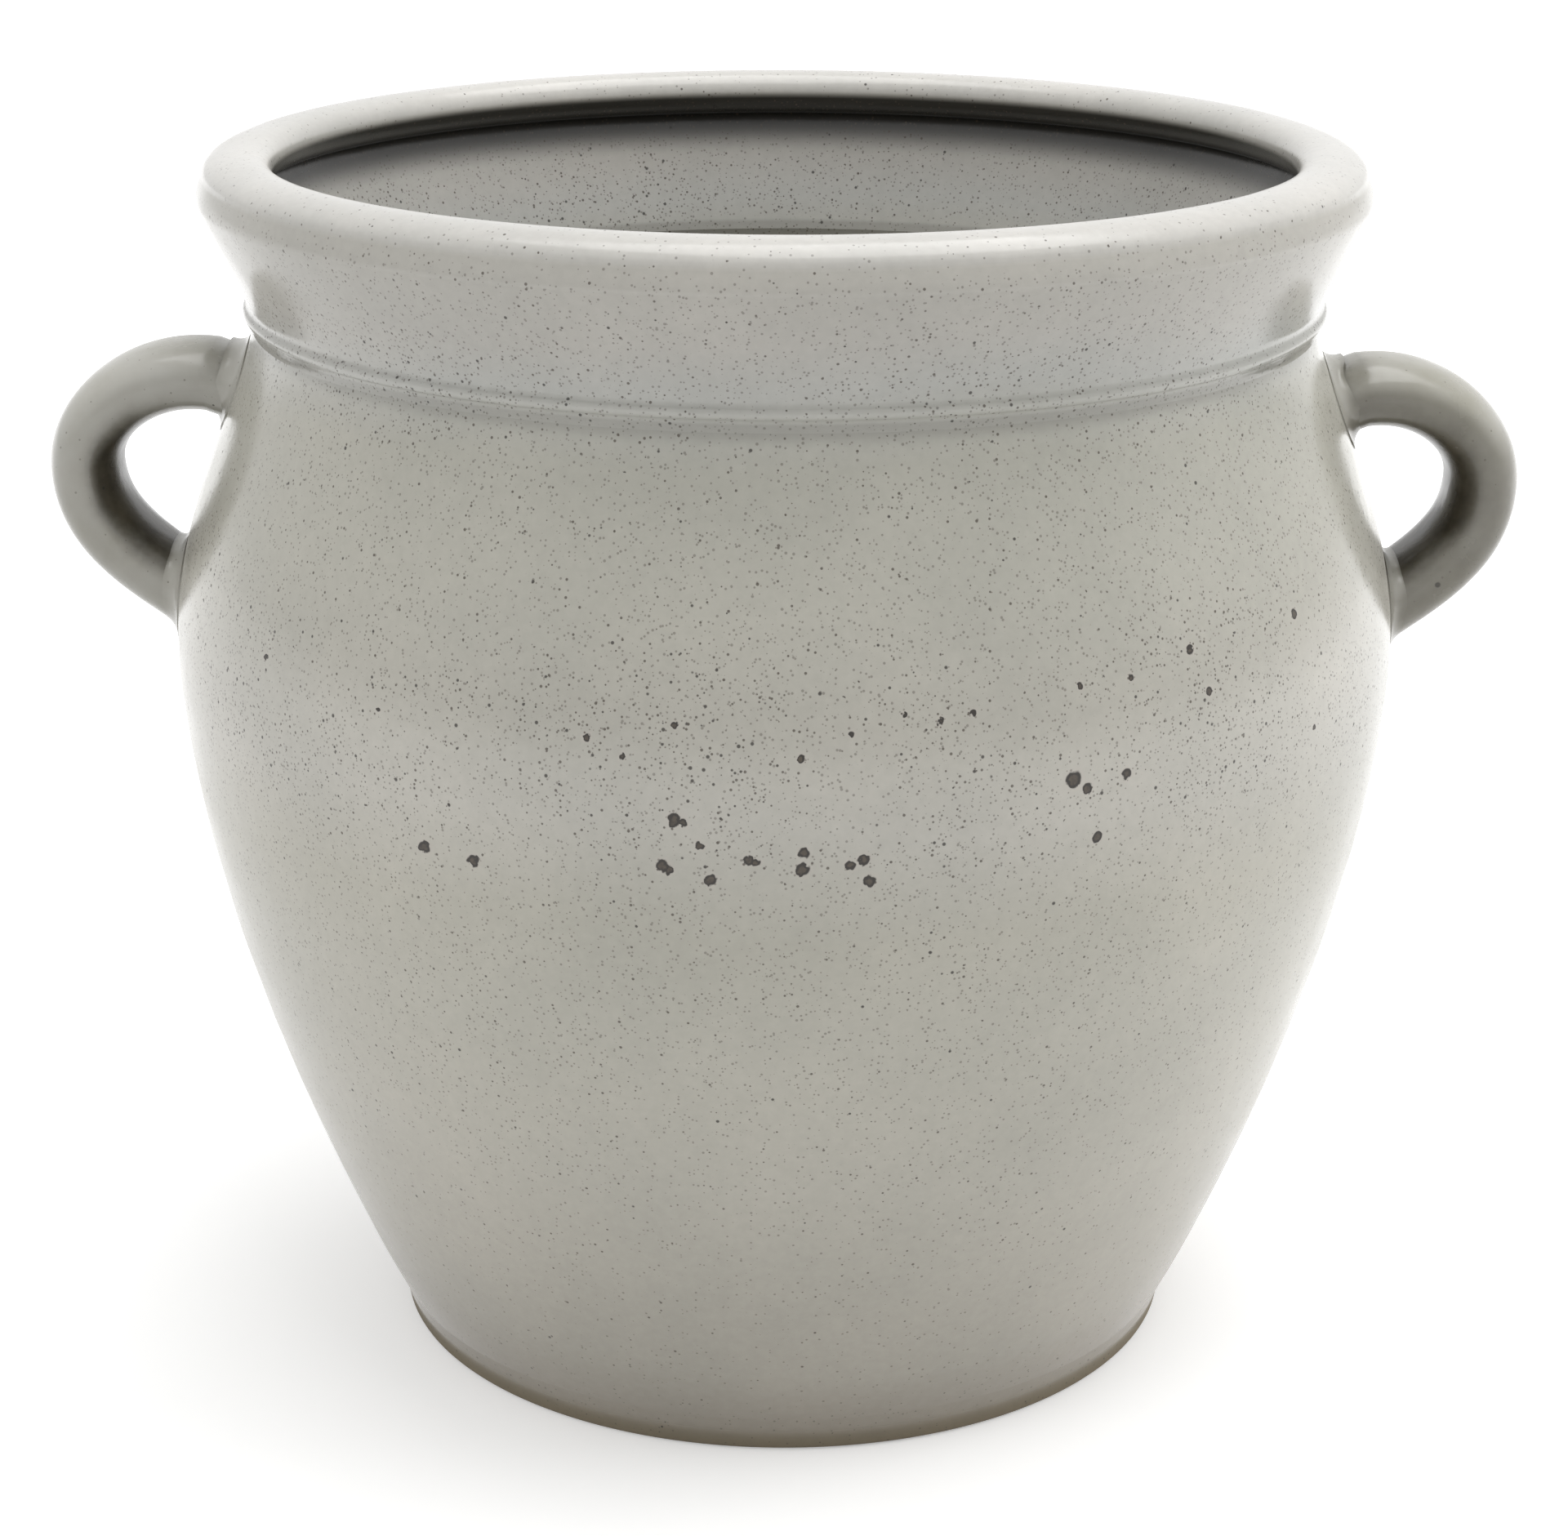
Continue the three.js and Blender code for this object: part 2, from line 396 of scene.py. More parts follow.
def section(width, thickness):
    # flattened oval
    power = 2 / handleSettings["fullness"]
    points = []
    for step in range(handleSettings["sectionSteps"]):
        turn = step / handleSettings["sectionSteps"] * math.tau
        across = math.copysign(abs(math.cos(turn)) ** power, math.cos(turn))
        through = math.copysign(abs(math.sin(turn)) ** power, math.sin(turn))
        points.append((across * width / 2, through * thickness / 2))
    return points


def strapLine(drop):
    # middle of the strap in the plane of X and Z, for the right-hand side
    s = handleSettings
    upperHeight = heights["neck"] - (s["upperDrop"] + drop) * mm
    lowerHeight = heights["belly"] + (s["lowerRise"] - drop) * mm
    upper = at(wallRadius(upperHeight) - s["sink"] * mm, upperHeight)
    lower = at(wallRadius(lowerHeight) - s["sink"] * mm, lowerHeight)
    bulgeRadius = radii["belly"] + (s["projection"] - s["thickness"] / 2) * mm
    bulge = at(bulgeRadius, lowerHeight + s["bulgeRise"] * mm)
    upperReach = upper + at(*s["upperReach"]) * mm
    lowerReach = lower + at(*s["lowerReach"]) * mm
    bulgeAbove = bulge + at(0, s["upperBend"]) * mm
    bulgeBelow = bulge - at(0, s["lowerBend"]) * mm
    upperArm = bend(upper, upperReach, bulgeAbove, bulge, s["armSteps"])
    lowerArm = bend(bulge, bulgeBelow, lowerReach, lower, s["armSteps"])
    return upperArm + lowerArm[1:]


def inSpace(point, side):
    return Vector((point.x * side, 0, point.y))


def frameAt(line, index, side):
    # X runs across the strap, Y through its thickness, Z along it
    ahead = line[index + 1] - line[index - 1]
    ahead.normalize()
    along = inSpace(ahead, side)
    across = Vector((0, 1, 0))
    turn = Matrix((across, along.cross(across), along)).transposed().to_4x4()
    return Matrix.Translation(inSpace(line[index], side)) @ turn


def rootAxis(line, index, side):
    # straight out of the wall along the end of the strap
    away = line[1] - line[0] if index == 0 else line[-2] - line[-1]
    away.normalize()
    return inSpace(away, side)


# Where a strap or pad ends on the wall, in millimetres
rootSettings = {
    "slide": 16,
    "slideSteps": 30,
    "bury": 0.5,
}


def ontoWall(point, direction):
    # slides a point along a direction until it lies on the outside of the wall
    low, high = -rootSettings["slide"] * mm, rootSettings["slide"] * mm
    for _ in range(rootSettings["slideSteps"]):
        middle = (low + high) / 2
        p = point + direction * middle
        if math.hypot(p.x, p.y) < wallRadius(p.z):
            low = middle
        else:
            high = middle
    return point + direction * low


def buried(point, axis):
    return ontoWall(point, axis) - axis * rootSettings["bury"] * mm


def grow(bm, edges):
    made = bmesh.ops.extrude_edge_only(bm, edges=edges)["geom"]
    verts = {v for v in made if isinstance(v, bmesh.types.BMVert)}
    far = [e for e in made if isinstance(e, bmesh.types.BMEdge) and set(e.verts) <= verts]
    return verts, far


def makeStrap(name, line, side):
    s = handleSettings
    clear = s["clear"] * mm
    free = [
        i for i, p in enumerate(line)
        if (p - line[0]).length > clear and (p - line[-1]).length > clear
    ]
    frames = [frameAt(line, i, side) for i in free]
    firstAxis, lastAxis = rootAxis(line, 0, side), rootAxis(line, -1, side)
    outline = section(s["width"] * mm, s["thickness"] * mm)
    start = [frames[0] @ Vector((x, y, 0)) for x, y in outline]
    bm = bmesh.new()
    ring, edges = closedLoop(bm, [buried(p, firstAxis) for p in start])
    bm.faces.new(ring)

    # the first ring goes from the wall to the first free frame, vertex by vertex
    landing = dict(zip(ring, start))
    verts, edges = grow(bm, edges)
    for v in verts:
        source = min(landing, key=lambda old: (old.co - v.co).length)
        v.co = landing[source]
    for before, after in zip(frames, frames[1:]):
        verts, edges = grow(bm, edges)
        bmesh.ops.transform(bm, matrix=after @ before.inverted(), verts=list(verts))
    verts, edges = grow(bm, edges)
    for v in verts:
        v.co = buried(v.co, lastAxis)
    bmesh.ops.edgeloop_fill(bm, edges=edges)
    return newPiece(name, bm, s["sharpDegrees"])


# Fillets of soft clay round the roots, in millimetres
padSettings = {
    "fillet": 4.6,
    "rows": 8,
    "inset": 0.8,
    "insetLift": 0.5,
    "insetMargin": 0.3,
    "sharpDegrees": 60,
}

# Where a fillet thins and its seam shows, in degrees round the strap
seams = {
    "leftUpper": {"turn": 150, "spread": 26, "depth": 0.55},
    "leftLower": {"turn": 150, "spread": 20, "depth": 0.2},
    "rightUpper": {"turn": 150, "spread": 30, "depth": 0.35},
    "rightLower": {"turn": -150, "spread": 24, "depth": 0.35},
}


def padRows():
    # for each row: shares of the fillet outwards and upwards, then millimetres outwards and upwards
    s = padSettings
    rows = []
    for row in range(s["rows"] + 1):
        turn = math.pi / 2 * row / s["rows"]
        rows.append((1 - math.sin(turn), 1 - math.cos(turn), 0, 0))
    rows.append((0, s["insetLift"], -s["inset"], 0))
    rows.append((0, 0, -s["inset"], 0))
    rows.append((s["insetMargin"], 0, 0, -s["inset"]))
    rows.append((1, 0, 0, -rootSettings["bury"]))
    return rows


def makePad(name, line, index, side, seam):
    width, thickness = handleSettings["width"], handleSettings["thickness"]
    axis = rootAxis(line, index, side)
    across = Vector((0, 1, 0))
    through = axis.cross(across)
    place = inSpace(line[index], side)
    bm = bmesh.new()
    loops = []
    for margin, lift, stepOut, stepUp in padRows():
        points = []
        for x, y in section(width, thickness):
            outward = Vector((x / (width / 2), y / (thickness / 2)))
            outward.normalize()
            offSeam = (math.degrees(math.atan2(y, x)) - seam["turn"]) / seam["spread"]
            size = padSettings["fillet"] * (1 - seam["depth"] * math.exp(-(offSeam ** 2)))
            flatX = x + outward.x * (margin * size + stepOut)
            flatY = y + outward.y * (margin * size + stepOut)
            start = place + across * flatX * mm + through * flatY * mm
            points.append(ontoWall(start, axis) + axis * (lift * size + stepUp) * mm)
        loops.append(closedLoop(bm, points)[1])
    for near, far in zip(loops, loops[1:] + loops[:1]):
        bmesh.ops.bridge_loops(bm, edges=near + far)
    return newPiece(name, bm, padSettings["sharpDegrees"])


handlePieces = []
for sideName, sideSettings in handleSides.items():
    line = strapLine(sideSettings["drop"])
    side = sideSettings["side"]
    strap = makeStrap(sideName + "Handle", line, side)
    upperPad = makePad(sideName + "UpperPad", line, 0, side, seams[sideName + "Upper"])
    lowerPad = makePad(sideName + "LowerPad", line, -1, side, seams[sideName + "Lower"])
    for piece, node in (
        (strap, sideName + "_handle"),
        (upperPad, sideName + "_upper_pad"),
        (lowerPad, sideName + "_lower_pad"),
    ):
        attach(piece, "root")
        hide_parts(node)
    handlePieces += [strap, upperPad, lowerPad]
print("handles pulled and luted")


# Short ways to make nodes
def addNode(tree, kind, **values):
    node = tree.nodes.new(kind)
    for key, value in values.items():
        setattr(node, key, value)
    return node


def join(tree, source, target):
    tree.links.new(source, target)


def feed(tree, socket, value):
    # a number is set on the socket, anything else is linked to it
    if isinstance(value, bpy.types.NodeSocket):
        join(tree, value, socket)
    else:
        socket.default_value = value


def compute(tree, operation, *values):
    node = addNode(tree, "ShaderNodeMath", operation=operation)
    for socket, value in zip(node.inputs, values):
        feed(tree, socket, value)
    return node.outputs[0]


def times(tree, first, second):
    return compute(tree, "MULTIPLY", first, second)


def timesPlus(tree, first, second, added):
    return compute(tree, "MULTIPLY_ADD", first, second, added)


def larger(tree, first, second):
    return compute(tree, "MAXIMUM", first, second)


def remap(tree, value, low, high, toLow=0.0, toHigh=1.0):
    node = addNode(tree, "ShaderNodeMapRange", interpolation_type="SMOOTHSTEP")
    feed(tree, node.inputs["Value"], value)
    feed(tree, node.inputs["From Min"], low)
    feed(tree, node.inputs["From Max"], high)
    feed(tree, node.inputs["To Min"], toLow)
    feed(tree, node.inputs["To Max"], toHigh)
    return node.outputs["Result"]


def betweenHeights(tree, height, edges):
    # edges in mm: starts to rise, is full, is full no more, has gone
    low, fullLow, fullHigh, high = (edge * mm for edge in edges)
    return times(tree, remap(tree, height, low, fullLow), remap(tree, height, high, fullHigh))


def blendColour(tree, amount, first, second, mode="MIX"):
    node = addNode(tree, "ShaderNodeMix", data_type="RGBA", blend_type=mode)
    feed(tree, node.inputs["Factor"], amount)
    feed(tree, node.inputs["A"], first)
    feed(tree, node.inputs["B"], second)
    return node.outputs["Result"]


def paint(tree, tone, mask, strength, colour):
    return blendColour(tree, times(tree, mask, strength), tone, (*colour, 1))


def noiseValue(tree, vector, scale, detail, rough):
    node = addNode(tree, "ShaderNodeTexNoise")
    join(tree, vector, node.inputs["Vector"])
    node.inputs["Scale"].default_value = scale
    node.inputs["Detail"].default_value = detail
    node.inputs["Roughness"].default_value = rough
    return node.outputs["Fac"]


def swayingNoise(tree, vector, scale, detail, rough):
    # as often below 0 as above it
    return compute(tree, "SUBTRACT", noiseValue(tree, vector, scale, detail, rough), 0.5)


def colourRamp(tree, value, stops):
    node = addNode(tree, "ShaderNodeValToRGB")
    ramp = node.color_ramp
    for index, (place, colour) in enumerate(stops):
        stop = ramp.elements[index] if index < 2 else ramp.elements.new(place)
        stop.position = place
        stop.color = (*colour, 1)
    join(tree, value, node.inputs["Fac"])
    return node.outputs["Color"]


def splitVector(tree, vector):
    node = addNode(tree, "ShaderNodeSeparateXYZ")
    join(tree, vector, node.inputs[0])
    return node.outputs


def vectorLength(tree, vector):
    node = addNode(tree, "ShaderNodeVectorMath", operation="LENGTH")
    join(tree, vector, node.inputs[0])
    return node.outputs["Value"]


def newGroup(name, inputs, outputs):
    tree = bpy.data.node_groups.new(name, "ShaderNodeTree")
    for label, kind in inputs.items():
        tree.interface.new_socket(label, in_out="INPUT", socket_type=kind)
    for label in outputs:
        tree.interface.new_socket(label, in_out="OUTPUT", socket_type="NodeSocketFloat")
    return tree, addNode(tree, "NodeGroupInput").outputs, addNode(tree, "NodeGroupOutput").inputs


def useGroup(tree, group, **values):
    node = addNode(tree, "ShaderNodeGroup", node_tree=group)
    for label, value in values.items():
        feed(tree, node.inputs[label], value)
    return node.outputs


def newMaterial(name):
    material = bpy.data.materials.new(name)
    material.use_nodes = True
    material.node_tree.nodes.clear()
    return material, material.node_tree


# Iron specks, in cells to a metre, size against a cell and share of the cells that hold one
speckSettings = {
    "smallest": 0.45,
    "growth": 0.7,
    "softEdge": 0.55,
    "colours": {"fine": "ironPale", "medium": "ironPale", "coarse": "iron"},
    "body": {
        "fine": {"cells": 980.0, "size": 0.34, "share": 0.85, "crowd": 0.3, "strength": 0.5},
        "medium": {"cells": 700.0, "size": 0.26, "share": 0.24, "crowd": 1.5, "strength": 0.85},
        "coarse": {"cells": 430.0, "size": 0.2, "share": 0.08, "crowd": 0.9, "strength": 0.88},
    },
    "handle": {
        "fine": {"cells": 640.0, "size": 0.2, "share": 0.3, "strength": 0.45},
        "coarse": {"cells": 150.0, "size": 0.12, "share": 0.15, "strength": 0.8},
    },
    # heights in mm where they crowd
    "belt": (150, 176, 190, 212),
    "neckBelt": (236, 246, 254, 268),
    "patchNoise": (22.0, 3.0, 0.5),
    "patchEdges": (0.38, 0.62),
    # heights in mm where they get fewer, and the share that is left there
    "footFade": {"from": 150, "to": 30, "left": 0.25},
    "rimFade": {"from": 276, "to": 281, "left": 0.3},
}


def speckGroup():
    # round iron specks of one size; Amount is the share of cells that hold one
    s = speckSettings
    inputs = {
        "Vector": "NodeSocketVector",
        "Scale": "NodeSocketFloat",
        "Size": "NodeSocketFloat",
        "Amount": "NodeSocketFloat",
    }
    tree, start, end = newGroup("ironSpecks", inputs, ["Mask"])
    cells = addNode(tree, "ShaderNodeTexVoronoi", voronoi_dimensions="3D", feature="F1")
    join(tree, start["Vector"], cells.inputs["Vector"])
    join(tree, start["Scale"], cells.inputs["Scale"])
    split = addNode(tree, "ShaderNodeSeparateColor")
    join(tree, cells.outputs["Color"], split.inputs["Color"])
    chosen = compute(tree, "LESS_THAN", split.outputs["Red"], start["Amount"])
    growth = timesPlus(tree, split.outputs["Green"], s["growth"], s["smallest"])
    reach = times(tree, start["Size"], growth)
    dot = remap(tree, cells.outputs["Distance"], reach, times(tree, reach, s["softEdge"]))
    join(tree, times(tree, dot, chosen), end["Mask"])
    return tree


specks = speckGroup()


def speckMask(tree, vector, kind, amount):
    found = useGroup(tree, specks, Vector=vector, Scale=kind["cells"], Size=kind["size"], Amount=amount)
    return found["Mask"]


def bodyMasks(tree, vector, height):
    # the specks crowd in two belts and get fewer near the foot and the rim
    s = speckSettings
    belt = betweenHeights(tree, height, s["belt"])
    neckBelt = betweenHeights(tree, height, s["neckBelt"])
    patches = remap(tree, noiseValue(tree, vector, *s["patchNoise"]), *s["patchEdges"])
    crowd = times(tree, larger(tree, belt, neckBelt), patches)
    fades = []
    for fade in (s["footFade"], s["rimFade"]):
        fades.append(remap(tree, height, fade["to"] * mm, fade["from"] * mm, fade["left"], 1.0))
    masks = {}
    for label, kind in s["body"].items():
        amount = timesPlus(tree, crowd, kind["crowd"], kind["share"])
        for fade in fades:
            amount = times(tree, amount, fade)
        masks[label] = speckMask(tree, vector, kind, amount)
    return masks


# Large spots of iron; edges are in shares of a spot's radius, the shift is in metres
spotSettings = {
    "edge": (1.08, 0.86),
    "haloEdge": (1.7, 1.0),
    "coreEdge": (0.75, 0.45),
    "haloStrength": 0.35,
    "raggedNoise": (700.0, 2.0, 0.5),
    "raggedShift": (0.0016, -0.0014, 0.0018),
    "coreNoise": (900.0, 2.0, 0.5),
    "corePlaces": (0.1, 0.6),
}

# Degrees round from the front, height in mm, radius in mm
largeSpots = [
    (-8.9, 170.6, 1.5), (-8.2, 169.9, 1.1), (-6.8, 165.3, 1.1), (-9.9, 160.3, 1.5), (-9.3, 159.6, 1.0),
    (-6.0, 157.6, 1.3), (-2.9, 162.2, 1.2), (-2.3, 161.7, 1.0), (1.6, 163.9, 1.3), (1.5, 160.3, 1.5),
    (6.5, 162.3, 1.3), (5.4, 161.0, 1.2), (7.0, 157.5, 1.4), (-31.7, 157.1, 1.5), (-26.8, 156.2, 1.5),
    (-16.2, 186.5, 0.9), (-13.2, 183.3, 0.8), (-8.9, 190.2, 0.8), (1.4, 184.1, 0.9), (5.5, 188.8, 0.7),
    (9.9, 192.3, 0.7), (12.9, 190.6, 0.9), (15.7, 191.7, 0.8), (25.4, 194.6, 0.9), (30.4, 194.6, 0.9),
    (37.1, 197.8, 1.1), (38.7, 188.5, 1.0), (24.4, 175.6, 1.9), (25.7, 173.2, 1.3), (29.5, 174.9, 1.3),
    (26.9, 162.1, 1.2), (51.5, 198.4, 1.2), (-36.4, 185.1, 0.7), (-51.8, 188.3, 0.8), (53.2, 172.4, 0.8),
    (118.0, 168.0, 1.4), (141.0, 181.0, 1.0), (163.0, 160.0, 1.6), (-152.0, 171.0, 1.2), (-118.0, 186.0, 0.9),
]


def spotGroup():
    # one large iron spot, with its halo and its middle
    s = spotSettings
    inputs = {
        "Vector": "NodeSocketVector",
        "Centre": "NodeSocketVector",
        "Radius": "NodeSocketFloat",
    }
    tree, start, end = newGroup("ironSpot", inputs, ["Spot", "Halo", "Core"])
    gap = addNode(tree, "ShaderNodeVectorMath", operation="DISTANCE")
    join(tree, start["Vector"], gap.inputs[0])
    join(tree, start["Centre"], gap.inputs[1])
    share = compute(tree, "DIVIDE", gap.outputs["Value"], start["Radius"])
    join(tree, remap(tree, share, *s["edge"]), end["Spot"])
    join(tree, remap(tree, share, *s["haloEdge"]), end["Halo"])
    join(tree, remap(tree, share, *s["coreEdge"]), end["Core"])
    return tree


spot = spotGroup()


def spotField(tree, vector):
    # the strongest of all the large spots, of their halos and of their middles, with ragged edges
    s = spotSettings
    ragged = swayingNoise(tree, vector, *s["raggedNoise"])
    spread = addNode(tree, "ShaderNodeCombineXYZ")
    for socket in spread.inputs:
        join(tree, ragged, socket)
    shift = addNode(tree, "ShaderNodeVectorMath", operation="MULTIPLY_ADD")
    join(tree, spread.outputs[0], shift.inputs[0])
    shift.inputs[1].default_value = s["raggedShift"]
    join(tree, vector, shift.inputs[2])
    strongest = {"Spot": 0.0, "Halo": 0.0, "Core": 0.0}
    for degrees, height, radius in largeSpots:
        turn = math.radians(degrees)
        reach = wallRadius(height * mm)
        centre = (reach * math.sin(turn), -reach * math.cos(turn), height * mm)
        found = useGroup(tree, spot, Vector=shift.outputs[0], Centre=centre, Radius=radius * mm)
        for label, before in strongest.items():
            strongest[label] = larger(tree, before, found[label])
    return strongest


# The glaze; each noise is scale, detail and roughness, and depths and heights are in mm
glazeSettings = {
    # share of the pot's height, and the colour there; darker towards the foot is painted shade over the bare
    # clay, and the lighter rim top is painted light from above
    "bands": [
        # painted shade: the colours darken towards the foot, and the lowest stops are also the bare clay
        (0.000, (0.20, 0.165, 0.115)),
        (0.010, (0.215, 0.185, 0.135)),
        (0.022, (0.31, 0.28, 0.235)),
        (0.090, (0.38, 0.358, 0.312)),
        (0.280, (0.445, 0.428, 0.378)),
        (0.420, (0.448, 0.434, 0.382)),
        (0.500, (0.445, 0.43, 0.375)),
        (0.585, (0.485, 0.47, 0.428)),
        (0.660, (0.44, 0.425, 0.38)),
        (0.740, (0.448, 0.436, 0.386)),
        (0.830, (0.44, 0.43, 0.38)),
        (0.885, (0.44, 0.438, 0.415)),
        (0.920, (0.445, 0.43, 0.4)),
        (0.981, (0.43, 0.415, 0.38)),
        # painted highlight: the rim top is lighter where light falls on it from above
        (0.986, (0.535, 0.522, 0.494)),
        (1.000, (0.565, 0.55, 0.525)),
    ],
    "driftNoise": (7.0, 2.0, 0.5),
    "drift": 0.09,
    "steadyTop": (0.93, 0.95),
    "steadyFoot": (0.05, 0.10),
    "cloudNoise": (16.0, 4.0, 0.55),
    "cloudTints": [(0.3, (0.9, 0.91, 0.9)), (0.7, (1.08, 1.075, 1.06))],
    "cloudStrength": 0.8,
    "grainNoise": (420.0, 3.0, 0.6),
    "grainTints": [(0.25, (0.93, 0.925, 0.92)), (0.75, (1.05, 1.05, 1.045))],
    "grainStrength": 0.75,
    "iron": (0.022, 0.018, 0.014),
    "ironPale": (0.075, 0.06, 0.045),
    "halo": (0.5, 0.455, 0.41),
    # painted shadow in the hollow under the inside of the lip
    "paintedLipShadow": (0.012, 0.011, 0.009),
    "paintedLipShadowHeights": (264.5, 272.5, 279.5, 281.5),
    "paintedLipShadowRadii": (128.5, 127.5),
    "paintedLipShadowStrength": 0.95,
    # painted shade in a narrow line under the bead
    "paintedBeadShade": (0.17, 0.165, 0.145),
    "paintedBeadShadeHeights": (242.5, 246.5, 247.5, 248.8),
    "paintedBeadShadeStrength": 0.42,
    "glossNoise": (60.0, 4.0, 0.5),
    "roughness": (0.15, 0.25),
    "ironRoughness": 0.25,
    "bareFootHeights": (6.5, 3.5),
    "bareFootRoughness": 0.8,
    "peelNoise": (160.0, 3.0, 0.5),
    "rippleNoise": (1400.0, 2.0, 0.5),
    "rippleShare": 0.12,
    "ironHump": 0.6,
    "bumpStrength": 0.35,
    "bumpDepth": 0.22,
}

glossSettings = {
    "ior": 1.5,
    "noiseRange": (0.2, 0.8),
}


def glossShader(tree):
    shader = addNode(tree, "ShaderNodeBsdfPrincipled")
    shader.inputs["IOR"].default_value = glossSettings["ior"]
    out = addNode(tree, "ShaderNodeOutputMaterial")
    join(tree, shader.outputs["BSDF"], out.inputs["Surface"])
    return shader.inputs


def unevenGloss(tree, vector, settings):
    patches = noiseValue(tree, vector, *settings["glossNoise"])
    return remap(tree, patches, *glossSettings["noiseRange"], *settings["roughness"])


def bumpNormal(tree, surface, settings):
    bump = addNode(tree, "ShaderNodeBump")
    bump.inputs["Strength"].default_value = settings["bumpStrength"]
    bump.inputs["Distance"].default_value = settings["bumpDepth"] * mm
    join(tree, surface, bump.inputs["Height"])
    return bump.outputs["Normal"]


def paintSpecks(tree, tone, masks, kinds):
    for label, mask in masks.items():
        colour = glazeSettings[speckSettings["colours"][label]]
        tone = paint(tree, tone, mask, kinds[label]["strength"], colour)
    return tone


def glazeTone(tree, vector, height):
    # colour by height, with painted shade towards the foot and painted light on the rim top, drifting a
    # little round the pot, with soft clouds
    g = glazeSettings
    sway = swayingNoise(tree, vector, *g["driftNoise"])
    share = compute(tree, "DIVIDE", height, heights["top"])
    steadyTop = remap(tree, share, *g["steadyTop"])
    steadyFoot = remap(tree, share, *g["steadyFoot"], 1.0, 0.0)
    level = addNode(tree, "ShaderNodeMix", data_type="FLOAT")
    feed(tree, level.inputs["Factor"], larger(tree, steadyTop, steadyFoot))
    feed(tree, level.inputs["A"], timesPlus(tree, sway, g["drift"], share))
    feed(tree, level.inputs["B"], share)
    tone = colourRamp(tree, level.outputs["Result"], g["bands"])
    cloud = colourRamp(tree, noiseValue(tree, vector, *g["cloudNoise"]), g["cloudTints"])
    tone = blendColour(tree, g["cloudStrength"], tone, cloud, "MULTIPLY")
    grain = colourRamp(tree, noiseValue(tree, vector, *g["grainNoise"]), g["grainTints"])
    return blendColour(tree, g["grainStrength"], tone, grain, "MULTIPLY")


def paintedLipShadowMask(tree, place):
    # painted shadow under the lip, on the inside only
    g = glazeSettings
    flat = addNode(tree, "ShaderNodeCombineXYZ")
    join(tree, place["X"], flat.inputs["X"])
    join(tree, place["Y"], flat.inputs["Y"])
    outer, inner = g["paintedLipShadowRadii"]
    inside = remap(tree, vectorLength(tree, flat.outputs[0]), outer * mm, inner * mm)
    return times(tree, betweenHeights(tree, place["Z"], g["paintedLipShadowHeights"]), inside)


def makeBodyGlaze():
    g = glazeSettings
    material, tree = newMaterial("bodyGlaze")
    shader = glossShader(tree)
    vector = addNode(tree, "ShaderNodeTexCoord").outputs["Object"]
    place = splitVector(tree, vector)
    height = place["Z"]
    masks = bodyMasks(tree, vector, height)
    spots = spotField(tree, vector)

    # painted shadow under the lip, painted shade in a line under the bead, then the iron
    tone = glazeTone(tree, vector, height)
    tone = paint(tree, tone, paintedLipShadowMask(tree, place), g["paintedLipShadowStrength"], g["paintedLipShadow"])
    # painted shade under the bead
    paintedBeadShade = betweenHeights(tree, height, g["paintedBeadShadeHeights"])
    tone = paint(tree, tone, paintedBeadShade, g["paintedBeadShadeStrength"], g["paintedBeadShade"])
    tone = paint(tree, tone, spots["Halo"], spotSettings["haloStrength"], g["halo"])
    tone = paintSpecks(tree, tone, masks, speckSettings["body"])
    middle = times(tree, spots["Core"], noiseValue(tree, vector, *spotSettings["coreNoise"]))
    spotStops = zip(spotSettings["corePlaces"], (g["iron"], g["ironPale"]))
    tone = blendColour(tree, spots["Spot"], tone, colourRamp(tree, middle, spotStops))
    join(tree, tone, shader["Base Color"])

    # matt clay at the very foot and a duller skin over the iron
    iron = larger(tree, spots["Spot"], masks["coarse"])
    dulled = timesPlus(tree, iron, g["ironRoughness"], unevenGloss(tree, vector, g))
    bareLow, bareHigh = (edge * mm for edge in g["bareFootHeights"])
    bareFoot = times(tree, remap(tree, height, bareLow, bareHigh), g["bareFootRoughness"])
    join(tree, larger(tree, dulled, bareFoot), shader["Roughness"])

    # orange-peel glaze that stands a little higher over the iron
    peel = noiseValue(tree, vector, *g["peelNoise"])
    ripple = times(tree, noiseValue(tree, vector, *g["rippleNoise"]), g["rippleShare"])
    surface = timesPlus(tree, iron, g["ironHump"], compute(tree, "ADD", peel, ripple))
    join(tree, bumpNormal(tree, surface, g), shader["Normal"])
    return material


# The glaze of the handles; facing is from -1 to 1, the sides are in mm from the middle of the pot
handleGlazeSettings = {
    "toneNoise": (40.0, 4.0, 0.55),
    "tones": [(0.3, (0.33, 0.32, 0.27)), (0.55, (0.42, 0.41, 0.37)), (0.8, (0.47, 0.465, 0.43))],
    # painted shade for the faces of the handles that look down
    "paintedUnderShadeNoise": (90.0, 3.0, 0.6),
    "paintedUnderShades": [(0.3, (0.1, 0.09, 0.065)), (0.75, (0.17, 0.16, 0.125))],
    "paintedUnderShadeFacing": (0.75, -0.1),
    "paintedUnderShadeSides": (-100, 100),
    "paintedUnderShadeShares": (0.3, 0.8),
    # thin brown glaze, darkened as painted shade on the face towards the pot
    "brownAndShadeNoise": (120.0, 3.0, 0.6),
    "brownAndShades": [(0.3, (0.03, 0.025, 0.016)), (0.75, (0.075, 0.063, 0.042))],
    "brownAndShadeFacing": (0.0, -0.75),
    "mottleNoise": (75.0, 4.0, 0.6),
    "mottle": 0.5,
    "glossNoise": (60.0, 4.0, 0.5),
    "roughness": (0.16, 0.3),
    "lumpNoise": (110.0, 4.0, 0.55),
    "bumpStrength": 0.4,
    "bumpDepth": 0.4,
}


